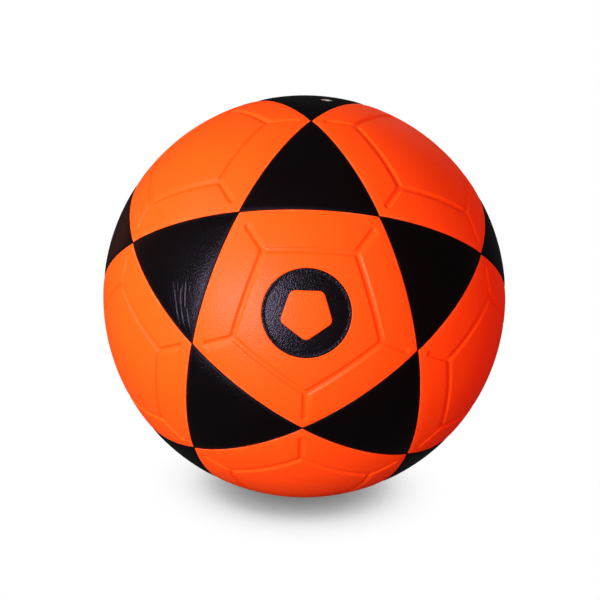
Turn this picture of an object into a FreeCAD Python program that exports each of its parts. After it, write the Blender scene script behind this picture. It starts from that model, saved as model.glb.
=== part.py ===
import FreeCAD, Part
import math
import os
import Sketcher

# A size 5 soccer ball: 32 cover panels over foam, a rubber carcass, a thread winding and a bladder.
# The origin is the ball's centre. +Z goes out through the middle of the panel that has the valve,
# and -Y faces the pentagon that carries the roundel. Lengths are in millimetres, angles in degrees.

SIZES = {
    "ball_diameter": 219.0,
    # cover panels
    "panel_thickness": 2.6,
    "panel_joint": 0.12,
    "panel_edge_round": 1.2,
    # grooves pressed into each pentagon: an inner pentagon with a spoke out of each corner
    "groove_width": 3.4,
    "groove_depth": 0.9,
    "groove_shoulder": 0.8,
    "groove_corner_angle": 20.08,
    "groove_end_angle": 27.6,
    # roundel let into the front pentagon
    "roundel_diameter": 42.8,
    "roundel_thickness": 0.9,
    "roundel_edge_round": 0.35,
    "roundel_rim_gap": 0.6,
    # bonded layers under the cover
    "glue_line": 0.05,
    "foam_thickness": 2.0,
    "carcass_thickness": 0.8,
    "winding_thickness": 0.5,
    "bladder_thickness": 0.8,
    # where the valve comes out: away from the top panel's middle, and round from +X
    "valve_tilt": 5.5,
    "valve_azimuth": -41.5,
    # valve plug
    "plug_diameter": 6.0,
    "plug_length": 15.0,
    "plug_recess": 0.3,
    "plug_tip_diameter": 4.0,
    "collar_diameter": 8.4,
    "collar_depth": 6.0,
    "collar_length": 3.0,
    "collar_slope": 1.2,
    "needle_bore_diameter": 2.0,
    "needle_bore_length": 9.0,
    "needle_mouth_diameter": 2.8,
    "needle_mouth_depth": 0.6,
    # valve housing, which holds the plug
    "stem_diameter": 13.0,
    "stem_floor": 1.6,
    "patch_diameter": 36.0,
    "patch_thickness": 1.2,
    "plug_gap": 0.05,
    "cover_hole_gap": 0.15,
    "layer_hole_gap": 0.2,
}

# Radii from the ball's centre, as expressions of the sizes.
BALL_FACE = "Sizes.ball_diameter / 2"
PANEL_BACK = BALL_FACE + " - Sizes.panel_thickness"
ROUNDEL_BACK = BALL_FACE + " - Sizes.roundel_thickness"
ROUNDEL_BLANK_REACH = "1.1 * asin(Sizes.roundel_diameter / Sizes.ball_diameter)"
LAYERS_FACE = PANEL_BACK + " - Sizes.glue_line"
PLUG_FACE = BALL_FACE + " - Sizes.plug_recess"
PLUG_TIP = PLUG_FACE + " - Sizes.plug_length"
STEM_END = PLUG_TIP + " - Sizes.stem_floor"
STEM_TOP = f"sqrt(({LAYERS_FACE}) ^ 2 - (Sizes.stem_diameter / 2) ^ 2)"
NEEDLE_MOUTH_END = PLUG_FACE + " - Sizes.needle_mouth_depth"

# The groove is cut by a round-nosed tool that sinks groove_depth into the ball's surface.
NOSE_RADIUS = "((Sizes.groove_width / 2) ^ 2 + Sizes.groove_depth ^ 2) / (2 * Sizes.groove_depth)"
NOSE_PATH = BALL_FACE + " - Sizes.groove_depth + " + NOSE_RADIUS
GROOVE_SIDE_ANGLE = "atan(tan(Sizes.groove_corner_angle * 1deg) * cos(36deg))"
GROOVE_SIDE_ARC = f"2 * acos(cos(Sizes.groove_corner_angle * 1deg) / cos({GROOVE_SIDE_ANGLE}))"
SPOKE_MIDDLE = "(Sizes.groove_corner_angle + Sizes.groove_end_angle) / 2 * 1deg"
SPOKE_ARC = "(Sizes.groove_end_angle - Sizes.groove_corner_angle) * 1deg"
SPOKE_TIP = "Sizes.groove_end_angle * 1deg"

GOLDEN = (1 + math.sqrt(5)) / 2
PENTAGON, TRIANGLE = 5, 3

# Panel names in order: from the top down, and in each ring from the front round by the right.
PENTAGON_NAMES = (
    "upper_right", "upper_back", "upper_left",
    "front", "back_right", "back_left",
    "front_right", "back", "front_left",
    "lower_front", "lower_back_right", "lower_back_left",
)
TRIANGLE_NAMES = (
    "top",
    "upper_front", "upper_back_right", "upper_back_left",
    "high_front_right", "high_right", "high_back_right",
    "high_back_left", "high_left", "high_front_left",
    "low_front_right", "low_right", "low_back_right",
    "low_back_left", "low_left", "low_front_left",
    "lower_right", "lower_back", "lower_left",
    "bottom",
)
ROUNDEL_PANEL = "front"
VALVE_PANEL = "top"

ORIGIN = FreeCAD.Vector(0, 0, 0)
UP = FreeCAD.Vector(0, 0, 1)
# Where -Y, the ball's front, lies round from +X.
FRONT_AZIMUTH = -90

doc = FreeCAD.newDocument("soccer_ball")


def size_sheet():
    """The sheet of driving dimensions: name, value and alias on each row."""
    sheet = doc.addObject("Spreadsheet::Sheet", "Sizes")
    for row, (alias, size) in enumerate(SIZES.items(), start=1):
        sheet.set(f"A{row}", alias)
        sheet.set(f"B{row}", str(size))
        sheet.setAlias(f"B{row}", alias)
    doc.recompute()
    return sheet


sizes = size_sheet()


def value(expression):
    """What an expression of the sizes comes to, in millimetres or degrees."""
    result = sizes.evalExpression(expression)
    return float(getattr(result, "Value", result))


# ---- Where the panels lie: the faces and corners of an icosidodecahedron


def cyclic(a, b, c):
    """The directions (a, b, c), (b, c, a) and (c, a, b) with every choice of signs, once each."""
    found = []
    for x, y, z in ((a, b, c), (b, c, a), (c, a, b)):
        for signs in range(8):
            direction = FreeCAD.Vector(
                -x if signs & 1 else x,
                -y if signs & 2 else y,
                -z if signs & 4 else z,
            ).normalize()
            if all(direction.distanceToPoint(other) > 0.001 for other in found):
                found.append(direction)
    return found


def ball_turn():
    """The turn that brings a triangle to the top and a pentagon beside it to the front."""
    triangle_up = FreeCAD.Vector(1, 1, 1).normalize()
    pentagon_front = FreeCAD.Vector(-1, 0, GOLDEN).normalize()
    return FreeCAD.Rotation(ORIGIN, -pentagon_front, triangle_up, "ZYX").inverted()


def from_top_down(direction):
    """Sort key: rings from the top down, and round each ring from the front by the right."""
    azimuth = math.degrees(math.atan2(direction.y, direction.x))
    return round(-direction.z, 3), round(azimuth - FRONT_AZIMUTH, 3) % 360


def turned(directions):
    turn = ball_turn()
    return sorted((turn.multVec(direction) for direction in directions), key=from_top_down)


PENTAGON_CENTRES = turned(cyclic(0, GOLDEN, 1))
TRIANGLE_CENTRES = turned(cyclic(1, 1, 1) + cyclic(0, 1 / GOLDEN, GOLDEN))
BALL_CORNERS = turned(cyclic(0, 0, 1) + cyclic(0.5, GOLDEN / 2, GOLDEN**2 / 2))


def face_angles(sides):
    """Angles from a panel's middle to its corner and to the middle of its side."""
    corner_distance = 1 / (2 * math.sin(math.pi / sides))
    side_distance = 1 / (2 * math.tan(math.pi / sides))
    plane_height = math.sqrt(GOLDEN**2 - corner_distance**2)
    corner = math.degrees(math.atan2(corner_distance, plane_height))
    side = math.degrees(math.atan2(side_distance, plane_height))
    return corner, side


def panel_placement(centre, sides):
    """Stands a panel's own Z on its middle and turns its own X to its highest, frontmost corner."""
    nearest = sorted(BALL_CORNERS, key=lambda corner: corner.getAngle(centre))[:sides]
    first = max(nearest, key=lambda corner: (round(corner.z, 3), -corner.y))
    return FreeCAD.Placement(ORIGIN, FreeCAD.Rotation(first, ORIGIN, centre, "ZXY"))


# ---- Sketches and features, each bound to the sheet


def origin_feature(body, role):
    return next(part for part in body.Origin.OriginFeatures if part.Role == role)


def new_body(label, placement):
    body = doc.addObject("PartDesign::Body", label)
    body.Label = label
    body.Placement = placement
    return body


def new_sketch(body, name, role="XZ_Plane"):
    sketch = body.newObject("Sketcher::SketchObject", f"{body.Label}_{name}")
    sketch.AttachmentSupport = [(origin_feature(body, role), "")]
    sketch.MapMode = "FlatFace"
    return sketch


def tilt_sketch(sketch, axis, expression):
    """Turns a sketch's plane about one of its own axes, by an angle bound to the sizes."""
    turn = FreeCAD.Rotation(axis, value(expression))
    sketch.AttachmentOffset = FreeCAD.Placement(ORIGIN, turn)
    sketch.setExpression("AttachmentOffset.Rotation.Angle", expression)


def dimension(sketch, name, expression, kind, *places):
    """A named sketch dimension whose value follows an expression."""
    size = math.radians(value(expression)) if kind == "Angle" else value(expression)
    index = sketch.addConstraint(Sketcher.Constraint(kind, *places, size))
    sketch.renameConstraint(index, name)
    sketch.setExpression(f"Constraints.{name}", expression)


def add_feature(body, kind, name, sketch, axis="V_Axis"):
    feature = body.newObject(kind, f"{body.Label}_{name}")
    feature.Profile = sketch
    feature.ReferenceAxis = (sketch, [axis])
    return feature


def full_turn(body, kind, name, sketch):
    feature = add_feature(body, kind, name, sketch)
    feature.Angle = 360
    return feature


def repeat_round(body, feature, copies):
    """Repeats a feature evenly about the body's own Z."""
    pattern = body.newObject("PartDesign::PolarPattern", f"{feature.Name}_pattern")
    pattern.Originals = [feature]
    pattern.Axis = (origin_feature(body, "Z_Axis"), [""])
    pattern.Angle = 360
    pattern.Occurrences = copies
    body.Tip = pattern
    doc.recompute()
    return pattern


def arc_end(radius, kind, expression):
    """A point on an arc about the origin: on the axis, at the pole, on a wall or on a ray."""
    if kind == "axis":
        return FreeCAD.Vector(0, radius, 0)
    if kind == "pole":
        return FreeCAD.Vector(0, -radius, 0)
    if kind == "wall":
        distance = value(expression)
        return FreeCAD.Vector(distance, math.sqrt(radius**2 - distance**2), 0)
    angle = math.radians(value(expression))
    return FreeCAD.Vector(radius * math.sin(angle), radius * math.cos(angle), 0)


def band_sketch(body, name, outer, inner, start, end, role="XZ_Plane"):
    """Closed profile between two arcs about the ball's centre, with a straight line at each end.

    An end is ("axis", None), ("pole", None), ("wall", distance from the axis) or ("ray", angle).
    """
    sketch = new_sketch(body, name, role)
    for radius in (value(outer), value(inner)):
        last = arc_end(radius, *end)
        first = arc_end(radius, *start)
        circle = Part.Circle(ORIGIN, UP, radius)
        last_angle = math.atan2(last.y, last.x)
        first_angle = math.atan2(first.y, first.x)
        sketch.addGeometry(Part.ArcOfCircle(circle, last_angle, first_angle))
    for kind, expression in (start, end):
        top = arc_end(value(outer), kind, expression)
        bottom = arc_end(value(inner), kind, expression)
        sketch.addGeometry(Part.LineSegment(top, bottom))
    for arc, line_point in ((0, 1), (1, 2)):
        sketch.addConstraint(Sketcher.Constraint("Coincident", arc, 3, -1, 1))
        sketch.addConstraint(Sketcher.Constraint("Coincident", 2, line_point, arc, 2))
        sketch.addConstraint(Sketcher.Constraint("Coincident", 3, line_point, arc, 1))
    dimension(sketch, "outer", outer, "Radius", 0)
    dimension(sketch, "inner", inner, "Radius", 1)
    for line, place, (kind, expression) in ((2, "start", start), (3, "end", end)):
        if kind in ("axis", "pole"):
            sketch.addConstraint(Sketcher.Constraint("PointOnObject", line, 1, -2))
            sketch.addConstraint(Sketcher.Constraint("PointOnObject", line, 2, -2))
        elif kind == "wall":
            sketch.addConstraint(Sketcher.Constraint("Vertical", line))
            dimension(sketch, place, expression, "DistanceX", -1, 1, line, 1)
        else:
            sketch.addConstraint(Sketcher.Constraint("PointOnObject", -1, 1, line))
            dimension(sketch, place, f"90deg - ({expression})", "Angle", -1, 1, line, 2)
    return sketch


def outline_sketch(body, name, points):
    """Closed profile with straight sides through points, each (distance from the axis, height)."""
    sketch = new_sketch(body, name)
    places = [FreeCAD.Vector(value(x), value(y), 0) for x, y in points]
    for i, place in enumerate(places):
        sketch.addGeometry(Part.LineSegment(place, places[(i + 1) % len(places)]))
    for i, (x, y) in enumerate(points):
        sketch.addConstraint(Sketcher.Constraint("Coincident", i - 1 if i else len(points) - 1, 2, i, 1))
        if x == "0":
            sketch.addConstraint(Sketcher.Constraint("PointOnObject", i, 1, -2))
        else:
            dimension(sketch, f"x{i}", x, "DistanceX", -1, 1, i, 1)
        dimension(sketch, f"y{i}", y, "DistanceY", -1, 1, i, 1)
    return sketch


# ---- Cover panels

# The blank of a panel reaches this far past its corners before the sides are cut.
BLANK_MARGIN = 2
# A side's cutter swings this far about the ball's centre, so that it clears the whole blank.
SIDE_SWING = 150
# How far in, out and across the cutters reach.
CUTTER_BOTTOM = "Sizes.ball_diameter * 0.3"
CUTTER_TOP = "Sizes.ball_diameter * 0.52"
CUTTER_WIDTH = "Sizes.ball_diameter * 0.45"


def tangent_point(sketch, name, centre, arc, end):
    """Holds an arc's end on the ball's face, where the arc runs into it without a step."""
    touch = centre * (value(BALL_FACE) / centre.Length)
    ray = sketch.addGeometry(Part.LineSegment(ORIGIN, touch), True)
    sketch.addConstraint(Sketcher.Constraint("Coincident", ray, 1, -1, 1))
    sketch.addConstraint(Sketcher.Constraint("Coincident", ray, 2, arc, end))
    sketch.addConstraint(Sketcher.Constraint("PointOnObject", arc, 3, ray))
    dimension(sketch, name, BALL_FACE, "Distance", ray)


def rim_sketch(body, name, wall, rounding, side):
    """Section of a cutter that leaves a wall and rounds it into the ball's face.

    Side is 1 where the piece lies to the right of the wall, and -1 where it lies to the left.
    """
    sketch = new_sketch(body, name)
    wall_x = value(wall)
    radius = value(rounding)
    centre_x = wall_x + side * radius
    centre_y = math.sqrt((value(BALL_FACE) - radius) ** 2 - centre_x**2)
    centre = FreeCAD.Vector(centre_x, centre_y, 0)
    touch = centre * (value(BALL_FACE) / centre.Length)
    corner = FreeCAD.Vector(wall_x, centre_y, 0)
    bottom = value(CUTTER_BOTTOM)
    top = value(CUTTER_TOP)
    far_x = wall_x - side * value(CUTTER_WIDTH)
    path = [
        corner,
        FreeCAD.Vector(wall_x, bottom, 0),
        FreeCAD.Vector(far_x, bottom, 0),
        FreeCAD.Vector(far_x, top, 0),
        FreeCAD.Vector(touch.x, top, 0),
        touch,
    ]
    for first, second in zip(path, path[1:]):
        sketch.addGeometry(Part.LineSegment(first, second))
    touch_angle = math.atan2(centre_y, centre_x)
    angles = (touch_angle, math.pi) if side == 1 else (0, touch_angle)
    arc = sketch.addGeometry(Part.ArcOfCircle(Part.Circle(centre, UP, radius), *angles))
    wall_end, touch_end = (2, 1) if side == 1 else (1, 2)
    for line in range(4):
        sketch.addConstraint(Sketcher.Constraint("Coincident", line, 2, line + 1, 1))
    for line, direction in enumerate(("Vertical", "Horizontal", "Vertical", "Horizontal", "Vertical")):
        sketch.addConstraint(Sketcher.Constraint(direction, line))
    sketch.addConstraint(Sketcher.Constraint("Tangent", 0, 1, arc, wall_end))
    sketch.addConstraint(Sketcher.Constraint("Coincident", 4, 2, arc, touch_end))
    dimension(sketch, "rounding", rounding, "Radius", arc)
    dimension(sketch, "wall", wall, "DistanceX", -1, 1, 0, 1)
    across = (2, 1, 0, 2) if side == 1 else (0, 2, 2, 1)
    dimension(sketch, "width", CUTTER_WIDTH, "DistanceX", *across)
    dimension(sketch, "bottom", CUTTER_BOTTOM, "DistanceY", -1, 1, 0, 2)
    dimension(sketch, "top", CUTTER_TOP, "DistanceY", -1, 1, 3, 1)
    tangent_point(sketch, "touch", centre, arc, touch_end)
    return sketch


def swing(body, kind, name, sketch, arc):
    """Turns a section about its H axis through an arc that the sketch halves."""
    feature = add_feature(body, kind, name, sketch, "H_Axis")
    feature.Midplane = True
    feature.Angle = value(arc)
    feature.setExpression("Angle", arc)
    doc.recompute()
    return feature


def shell_blank(body, face, back, reach):
    """A square-cornered patch of a spherical shell, centred on the body's own Z."""
    rays = ("ray", f"-({reach})"), ("ray", reach)
    blank = band_sketch(body, "blank", face, back, *rays, role="YZ_Plane")
    swing(body, "PartDesign::Revolution", "shell", blank, f"2 * ({reach})")


def panel(name, centre, sides):
    """A cover panel with rounded rim, before anything is pressed or cut into it.

    Its sides are arcs of great circles, so each one is cut by a section swung about the ball's
    centre, which leaves half a joint to the neighbour and rounds the rim on the way.
    """
    body = new_body(name, panel_placement(centre, sides))
    corner_angle, side_angle = face_angles(sides)
    shell_blank(body, BALL_FACE, PANEL_BACK, f"{corner_angle + BLANK_MARGIN}deg")
    rim = rim_sketch(body, "rim", "Sizes.panel_joint / 2", "Sizes.panel_edge_round", 1)
    rim.AttachmentOffset = FreeCAD.Placement(ORIGIN, FreeCAD.Rotation(UP, side_angle))
    side = swing(body, "PartDesign::Groove", "side", rim, f"{SIDE_SWING}deg")
    repeat_round(body, side, sides)
    return body


def nose_sketch(body, name, role, axis, tilt, half=False):
    """Section of the pressed groove: a round nose with a soft shoulder on each side of it.

    Its plane is tilted to the middle of its run. Half a section serves to be turned on the spot.
    """
    sketch = new_sketch(body, name, role)
    tilt_sketch(sketch, axis, tilt)
    nose = value(NOSE_RADIUS)
    shoulder = value("Sizes.groove_shoulder")
    ball = value(BALL_FACE)
    nose_y = value(NOSE_PATH)
    # the shoulder's centre is ball - shoulder from the origin and nose + shoulder from the nose's
    shoulder_y = ((ball - shoulder) ** 2 - (nose + shoulder) ** 2 + nose_y**2) / (2 * nose_y)
    shoulder_x = math.sqrt((ball - shoulder) ** 2 - shoulder_y**2)
    top = value(CUTTER_TOP)
    nose_centre = FreeCAD.Vector(0, nose_y, 0)
    slope = math.atan2(shoulder_y - nose_y, shoulder_x)
    crest = math.atan2(shoulder_y, shoulder_x)
    first_angle = -math.pi / 2 if half else math.pi - slope
    nose_circle = Part.Circle(nose_centre, UP, nose)
    nose_arc = sketch.addGeometry(Part.ArcOfCircle(nose_circle, first_angle, slope))
    sketch.addConstraint(Sketcher.Constraint("PointOnObject", nose_arc, 3, -2))
    dimension(sketch, "nose", NOSE_RADIUS, "Radius", nose_arc)
    dimension(sketch, "path", NOSE_PATH, "DistanceY", -1, 1, nose_arc, 3)
    tops = []
    for side in (1,) if half else (1, -1):
        label = "right" if side == 1 else "left"
        centre = FreeCAD.Vector(side * shoulder_x, shoulder_y, 0)
        touch = centre * (ball / centre.Length)
        circle = Part.Circle(centre, UP, shoulder)
        angles = (crest, slope + math.pi) if side == 1 else (-slope, math.pi - crest)
        arc = sketch.addGeometry(Part.ArcOfCircle(circle, *angles))
        touch_end, nose_end = (1, 2) if side == 1 else (2, 1)
        sketch.addConstraint(Sketcher.Constraint("Tangent", arc, nose_end, nose_arc, nose_end))
        dimension(sketch, f"{label}_shoulder", "Sizes.groove_shoulder", "Radius", arc)
        tangent_point(sketch, f"{label}_touch", centre, arc, touch_end)
        edge_top = FreeCAD.Vector(touch.x, top, 0)
        line = sketch.addGeometry(Part.LineSegment(touch, edge_top))
        sketch.addConstraint(Sketcher.Constraint("Coincident", line, 1, arc, touch_end))
        sketch.addConstraint(Sketcher.Constraint("Vertical", line))
        tops.append((line, edge_top))
    if half:
        axis_top = FreeCAD.Vector(0, top, 0)
        line = sketch.addGeometry(Part.LineSegment(FreeCAD.Vector(0, nose_y - nose, 0), axis_top))
        sketch.addConstraint(Sketcher.Constraint("Coincident", line, 1, nose_arc, 1))
        sketch.addConstraint(Sketcher.Constraint("PointOnObject", line, 1, -2))
        sketch.addConstraint(Sketcher.Constraint("Vertical", line))
        tops.append((line, axis_top))
    (right, right_top), (left, left_top) = tops
    lid = sketch.addGeometry(Part.LineSegment(right_top, left_top))
    sketch.addConstraint(Sketcher.Constraint("Coincident", lid, 1, right, 2))
    sketch.addConstraint(Sketcher.Constraint("Coincident", lid, 2, left, 2))
    sketch.addConstraint(Sketcher.Constraint("Horizontal", lid))
    dimension(sketch, "top", CUTTER_TOP, "DistanceY", -1, 1, lid, 1)
    return sketch


def press_grooves(body):
    """Presses the inner pentagon and a spoke out of each of its corners into a panel."""
    across = FreeCAD.Vector(1, 0, 0)
    side_nose = nose_sketch(body, "inner_side_nose", "XZ_Plane", UP, GROOVE_SIDE_ANGLE)
    inner_side = swing(body, "PartDesign::Groove", "inner_side", side_nose, GROOVE_SIDE_ARC)
    repeat_round(body, inner_side, PENTAGON)
    spoke_nose = nose_sketch(body, "spoke_nose", "YZ_Plane", across, SPOKE_MIDDLE)
    spoke = swing(body, "PartDesign::Groove", "spoke", spoke_nose, SPOKE_ARC)
    repeat_round(body, spoke, PENTAGON)
    tip_nose = nose_sketch(body, "tip_nose", "YZ_Plane", across, SPOKE_TIP, half=True)
    tip = full_turn(body, "PartDesign::Groove", "tip", tip_nose)
    doc.recompute()
    repeat_round(body, tip, PENTAGON)


def sink_roundel_seat(body):
    """Sinks the flat-walled seat that the roundel lies in."""
    above = BALL_FACE + " + Sizes.roundel_thickness"
    floor = ROUNDEL_BACK + " - Sizes.glue_line"
    wall = "Sizes.roundel_diameter / 2 + Sizes.roundel_rim_gap"
    sketch = band_sketch(body, "seat_profile", above, floor, ("axis", None), ("wall", wall))
    full_turn(body, "PartDesign::Groove", "seat", sketch)


def cut_valve_hole(body):
    """Cuts the hole that the valve plug shows through, square to the ball's surface there."""
    sketch = new_sketch(body, "valve_hole_sketch", "XY_Plane")
    # the top panel's own X points to the ball's front
    local_azimuth = f"Sizes.valve_azimuth - ({FRONT_AZIMUTH})"
    turn = FreeCAD.Rotation(value(local_azimuth), value("Sizes.valve_tilt"), 0)
    sketch.AttachmentOffset = FreeCAD.Placement(ORIGIN, turn)
    radius = "Sizes.plug_diameter / 2 + Sizes.cover_hole_gap"
    sketch.addGeometry(Part.Circle(ORIGIN, UP, value(radius)))
    sketch.addConstraint(Sketcher.Constraint("Coincident", 0, 3, -1, 1))
    dimension(sketch, "hole", radius, "Radius", 0)
    pocket = body.newObject("PartDesign::Pocket", f"{body.Label}_valve_hole")
    pocket.Profile = sketch
    pocket.Reversed = True
    pocket.Length = value("Sizes.ball_diameter")
    pocket.setExpression("Length", "Sizes.ball_diameter")


def cover_panels():
    bodies = []
    for name, centre in zip(PENTAGON_NAMES, PENTAGON_CENTRES):
        body = panel(f"pentagon_panel_{name}", centre, PENTAGON)
        press_grooves(body)
        if name == ROUNDEL_PANEL:
            sink_roundel_seat(body)
        bodies.append(body)
    for name, centre in zip(TRIANGLE_NAMES, TRIANGLE_CENTRES):
        body = panel(f"triangle_panel_{name}", centre, TRIANGLE)
        if name == VALVE_PANEL:
            cut_valve_hole(body)
        bodies.append(body)
    return bodies


def roundel_disc():
    """The thin domed disc in the front pentagon's seat, with a rounded edge."""
    centre = PENTAGON_CENTRES[PENTAGON_NAMES.index(ROUNDEL_PANEL)]
    body = new_body("roundel_disc", panel_placement(centre, PENTAGON))
    shell_blank(body, BALL_FACE, ROUNDEL_BACK, ROUNDEL_BLANK_REACH)
    rim = rim_sketch(body, "rim", "Sizes.roundel_diameter / 2", "Sizes.roundel_edge_round", -1)
    full_turn(body, "PartDesign::Groove", "edge", rim)
    return body


# ---- Bonded layers and valve, all turned about the valve's axis


def valve_placement():
    turn = FreeCAD.Rotation(value("Sizes.valve_azimuth"), value("Sizes.valve_tilt"), 0)
    return FreeCAD.Placement(ORIGIN, turn)


def bonded_layers():
    """Closed shells one inside the other, each with a round hole for the valve's stem."""
    bodies = []
    face = LAYERS_FACE
    hole = ("wall", "Sizes.stem_diameter / 2 + Sizes.layer_hole_gap")
    for name, thickness in (
        ("foam_layer", "foam_thickness"),
        ("rubber_carcass", "carcass_thickness"),
        ("thread_winding", "winding_thickness"),
        ("bladder", "bladder_thickness"),
    ):
        body = new_body(name, valve_placement())
        back = f"{face} - Sizes.{thickness}"
        sketch = band_sketch(body, "profile", face, back, hole, ("pole", None))
        full_turn(body, "PartDesign::Revolution", "shell", sketch)
        bodies.append(body)
        face = back + " - Sizes.glue_line"
    return bodies, face


def plug_outline(gap):
    """The plug's outside from its face to its tip, grown by a gap."""
    body_radius = f"Sizes.plug_diameter / 2 + {gap}"
    collar_radius = f"Sizes.collar_diameter / 2 + {gap}"
    tip_radius = f"Sizes.plug_tip_diameter / 2 + {gap}"
    collar_top = f"{PLUG_FACE} - Sizes.collar_depth + {gap}"
    collar_bottom = f"{PLUG_FACE} - Sizes.collar_depth - Sizes.collar_length - {gap}"
    return [
        (body_radius, PLUG_FACE),
        (body_radius, f"{collar_top} + Sizes.collar_slope"),
        (collar_radius, collar_top),
        (collar_radius, collar_bottom),
        (tip_radius, f"{PLUG_TIP} - {gap}"),
        ("0", f"{PLUG_TIP} - {gap}"),
    ]


def valve_plug():
    """Soft plug with a collar that holds it in, and a blind bore that guides the needle."""
    body = new_body("valve_plug", valve_placement())
    bore_radius = "Sizes.needle_bore_diameter / 2"
    bore_floor = NEEDLE_MOUTH_END + " - Sizes.needle_bore_length"
    bore = [
        ("0", bore_floor),
        (bore_radius, bore_floor),
        (bore_radius, NEEDLE_MOUTH_END),
        ("Sizes.needle_mouth_diameter / 2", PLUG_FACE),
    ]
    sketch = outline_sketch(body, "plug_profile", plug_outline("0") + bore)
    full_turn(body, "PartDesign::Revolution", "plug", sketch)
    return body


def valve_housing(bladder_inside):
    """Rubber stem with a patch that is bonded inside the bladder, and a socket for the plug."""
    body = new_body("valve_housing", valve_placement())
    stem_radius = "Sizes.stem_diameter / 2"
    corners = [("0", STEM_TOP), (stem_radius, STEM_TOP), (stem_radius, STEM_END), ("0", STEM_END)]
    stem = outline_sketch(body, "stem_profile", corners)
    full_turn(body, "PartDesign::Revolution", "stem", stem)
    patch_back = f"{bladder_inside} - Sizes.patch_thickness"
    ends = ("axis", None), ("wall", "Sizes.patch_diameter / 2")
    patch = band_sketch(body, "patch_profile", bladder_inside, patch_back, *ends)
    full_turn(body, "PartDesign::Revolution", "patch", patch)
    socket_outline = plug_outline("Sizes.plug_gap") + [("0", PLUG_FACE)]
    socket = outline_sketch(body, "socket_profile", socket_outline)
    full_turn(body, "PartDesign::Groove", "socket", socket)
    return body


# ---- The whole ball

nodes = cover_panels()
nodes.append(roundel_disc())
layers, bladder_inside = bonded_layers()
nodes += layers
nodes.append(valve_housing(bladder_inside))
nodes.append(valve_plug())
doc.recompute()

for item in doc.Objects:
    if "Invalid" in item.State or "Error" in item.State:
        raise RuntimeError(f"{item.Label} failed: {item.State}")
for node in nodes:
    shape = node.Shape
    if shape.isNull() or not shape.isValid() or len(shape.Solids) != 1:
        raise RuntimeError(f"{node.Label} isn't one valid solid")

os.makedirs("parts", exist_ok=True)
for node in nodes:
    node.Shape.exportStep(f"parts/{node.Label}.step")
print(f"{len(nodes)} nodes written")
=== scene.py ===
# Looks of a size 5 laminated soccer ball: orange pentagons with pressed grooves, black pebbled
# triangles with crowned rims and stretch creases, a grained roundel with a plain raised pentagon,
# and the valve. Lengths are millimetres, and become metres where a mesh or a node is made. The
# studio's distances alone are metres.

import logging
import math
from dataclasses import dataclass, field
from enum import Enum

import bpy
import numpy as np
from bpy.types import ID, Material, Node, NodeSocket, NodeTree, Object
from mathutils import Matrix, Vector


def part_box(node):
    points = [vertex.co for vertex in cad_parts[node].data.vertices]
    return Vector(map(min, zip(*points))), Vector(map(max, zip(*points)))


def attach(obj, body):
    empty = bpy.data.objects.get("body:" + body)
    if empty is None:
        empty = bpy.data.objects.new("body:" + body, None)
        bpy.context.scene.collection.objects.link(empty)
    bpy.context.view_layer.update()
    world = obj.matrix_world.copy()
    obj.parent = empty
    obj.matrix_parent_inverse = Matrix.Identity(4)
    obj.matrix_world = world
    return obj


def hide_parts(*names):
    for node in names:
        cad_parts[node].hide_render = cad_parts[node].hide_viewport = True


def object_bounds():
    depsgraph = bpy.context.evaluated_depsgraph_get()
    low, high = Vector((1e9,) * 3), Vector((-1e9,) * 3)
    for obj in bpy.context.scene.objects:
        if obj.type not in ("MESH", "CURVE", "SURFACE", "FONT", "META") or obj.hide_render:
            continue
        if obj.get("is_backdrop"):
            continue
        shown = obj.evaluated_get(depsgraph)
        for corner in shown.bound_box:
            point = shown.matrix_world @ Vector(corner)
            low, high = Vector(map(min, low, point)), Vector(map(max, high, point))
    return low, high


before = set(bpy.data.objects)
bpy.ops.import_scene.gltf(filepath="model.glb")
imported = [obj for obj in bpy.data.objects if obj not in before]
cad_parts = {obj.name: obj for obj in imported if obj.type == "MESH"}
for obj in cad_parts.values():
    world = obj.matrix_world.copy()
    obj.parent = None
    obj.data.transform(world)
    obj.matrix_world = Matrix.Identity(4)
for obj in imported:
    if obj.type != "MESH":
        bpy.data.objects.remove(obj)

log = logging.getLogger("soccer_ball")

MM = 0.001
# Sockets of the colour mix node, which carry the same name for several kinds of value.
MIX_A, MIX_B, MIX_OUT = 6, 7, 2
# The wave texture runs through this many bands per unit at a scale of one.
WAVE_BANDS = 20 / math.tau
# Most of a noise texture's values lie between these two.
NOISE_LOW, NOISE_HIGH = 0.3, 0.7

Array = np.ndarray


# ---- Small helpers


def unit(vectors: Array) -> Array:
    """Scales vectors to length one along the last axis."""
    return vectors / np.linalg.norm(vectors, axis=-1, keepdims=True)


def swing(centre: Array, towards: Array, degrees: float) -> Array:
    """Turns a direction towards another one.

    Args:
        centre: unit direction to start from.
        towards: unit direction to turn to.
        degrees: how far to turn.

    Returns:
        The turned unit direction.
    """
    aside = unit(towards - centre * (centre @ towards))
    angle = math.radians(degrees)
    return centre * math.cos(angle) + aside * math.sin(angle)


def arc_distance(directions: Array, start: Array, end: Array) -> Array:
    """Angle from each direction to an arc of a great circle.

    Args:
        directions: unit directions, one per row.
        start: where the arc starts.
        end: where the arc ends.

    Returns:
        The angles in radians.
    """
    pole = unit(np.cross(start, end))
    beside = (directions @ np.cross(pole, start) >= 0) & (directions @ np.cross(end, pole) >= 0)
    across = np.abs(np.arcsin(np.clip(directions @ pole, -1, 1)))
    nearest = np.maximum(directions @ start, directions @ end)
    return np.where(beside, across, np.arccos(np.clip(nearest, -1, 1)))


def smooth_step(low: float, high: float, x: Array) -> Array:
    """Eases from 0 at low to 1 at high."""
    t = np.clip((x - low) / (high - low), 0, 1)
    return t * t * (3 - 2 * t)


def add_object(name: str, data: ID) -> Object:
    """Makes an object for a mesh, a lamp or a camera, and links it to the scene.

    Args:
        name: name of the object.
        data: the mesh, lamp or camera.

    Returns:
        The new object.
    """
    item = bpy.data.objects.new(name, data)
    bpy.context.scene.collection.objects.link(item)
    return item


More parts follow.
